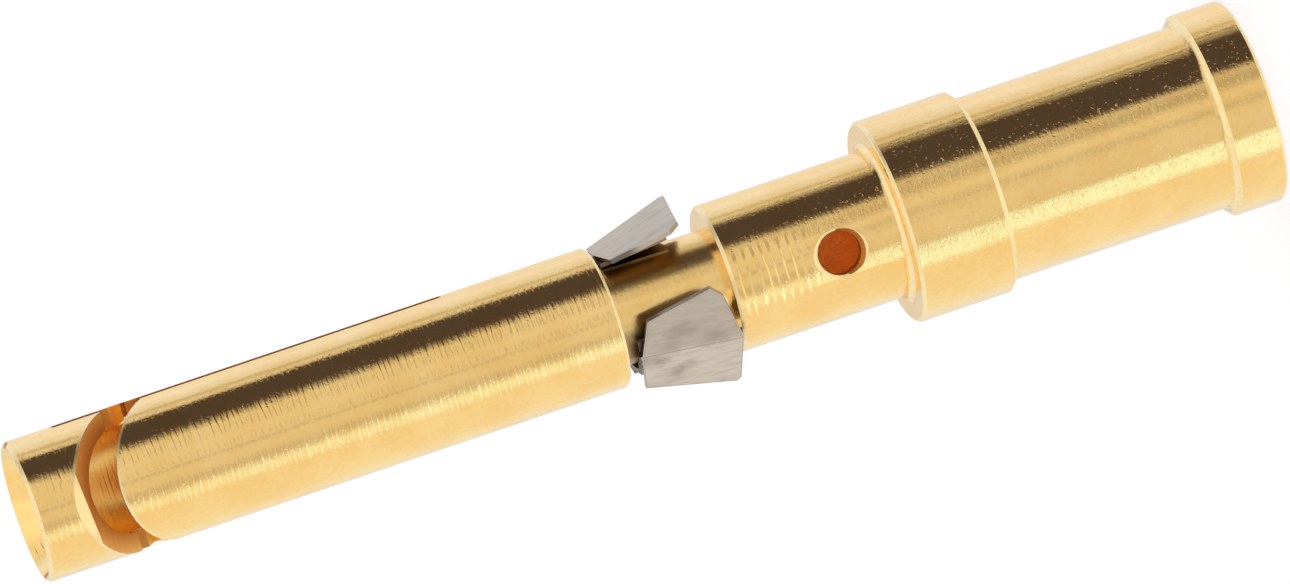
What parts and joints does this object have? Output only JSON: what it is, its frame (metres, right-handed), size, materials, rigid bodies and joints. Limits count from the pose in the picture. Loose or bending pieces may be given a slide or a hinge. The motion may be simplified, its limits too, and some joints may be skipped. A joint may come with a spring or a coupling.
{
  "type": "crimp contact",
  "caption": "Turned gold-plated crimp contact: socket sleeve with a sprung tongue behind a closed front ring, folded retention clip in a groove, stop collar and wire barrel.",
  "frame": {"origin": "centre of the wire-end face, on the axis of the turned body", "axes": "+Z along the axis from the wire end to the mating tip; -Y is the side with the tongue and the inspection hole"},
  "size_m": [0.0038, 0.0038, 0.0235],
  "materials": {
    "gold_plate": "turned copper alloy with a bright gold plating and fine turning marks",
    "spring_steel": "rolled stainless spring strip, satin, lightly stained"
  },
  "bodies": {
    "root": {"contact_body": "gold_plate", "retention_clip": "spring_steel"}
  },
  "joints": []
}
